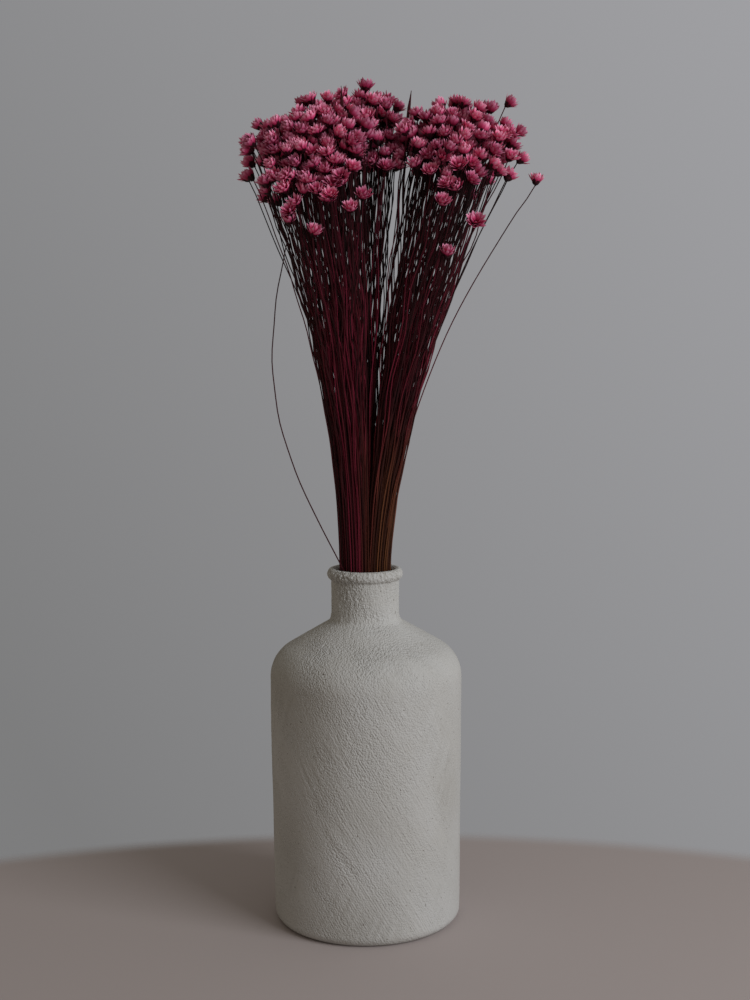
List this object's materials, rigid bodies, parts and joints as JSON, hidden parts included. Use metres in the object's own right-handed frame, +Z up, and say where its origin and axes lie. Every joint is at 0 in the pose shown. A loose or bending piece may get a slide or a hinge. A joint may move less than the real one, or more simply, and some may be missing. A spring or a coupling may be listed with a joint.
{
  "type": "vase of preserved glixia",
  "caption": "Round-shouldered plaster-finish bottle vase that stands on its flat base and holds a tall, loose bunch of dried glixia with small pink star heads on thin wiry stems.",
  "frame": {"origin": "centre of the vase's flat base, where it meets the surface it stands on", "axes": "+Z up along the vase's axis of revolution, -Y towards the front, +X to the right seen from the front"},
  "size_m": [0.1945, 0.127, 0.5469],
  "materials": {
    "vase_plaster": "matte off-white plaster with coarse brush ridges and fine grit",
    "glixia": "dry and matte: papery dusty-pink petals on thin dark maroon stems"
  },
  "bodies": {
    "root": {"vase": "vase_plaster", "glixia_tuft_01": "glixia", "glixia_tuft_02": "glixia", "glixia_tuft_03": "glixia", "glixia_tuft_04": "glixia", "glixia_tuft_05": "glixia", "glixia_tuft_06": "glixia", "glixia_tuft_07": "glixia", "glixia_tuft_08": "glixia", "glixia_tuft_09": "glixia", "glixia_tuft_10": "glixia", "glixia_tuft_11": "glixia", "glixia_tuft_12": "glixia", "glixia_tuft_13": "glixia", "glixia_tuft_14": "glixia", "glixia_tuft_15": "glixia", "glixia_tuft_16": "glixia", "glixia_tuft_17": "glixia", "glixia_tuft_18": "glixia", "glixia_tuft_19": "glixia", "glixia_tuft_20": "glixia", "glixia_tuft_21": "glixia", "glixia_tuft_22": "glixia", "glixia_tuft_23": "glixia", "glixia_tuft_24": "glixia", "glixia_tuft_25": "glixia", "glixia_tuft_26": "glixia", "glixia_tuft_27": "glixia", "glixia_tuft_28": "glixia", "glixia_tuft_29": "glixia", "glixia_tuft_30": "glixia", "glixia_tuft_31": "glixia", "glixia_tuft_32": "glixia", "glixia_tuft_33": "glixia", "glixia_tuft_34": "glixia", "glixia_tuft_35": "glixia", "glixia_tuft_36": "glixia", "glixia_tuft_37": "glixia", "glixia_tuft_38": "glixia", "glixia_tuft_39": "glixia", "glixia_tuft_40": "glixia", "glixia_tuft_41": "glixia", "glixia_tuft_42": "glixia", "glixia_tuft_43": "glixia", "glixia_tuft_44": "glixia", "glixia_tuft_45": "glixia", "glixia_tuft_46": "glixia", "glixia_tuft_47": "glixia", "glixia_tuft_48": "glixia", "glixia_tuft_49": "glixia", "glixia_tuft_50": "glixia", "glixia_tuft_51": "glixia", "glixia_tuft_52": "glixia", "glixia_tuft_53": "glixia", "glixia_tuft_54": "glixia", "glixia_tuft_55": "glixia", "glixia_tuft_56": "glixia"}
  },
  "joints": []
}
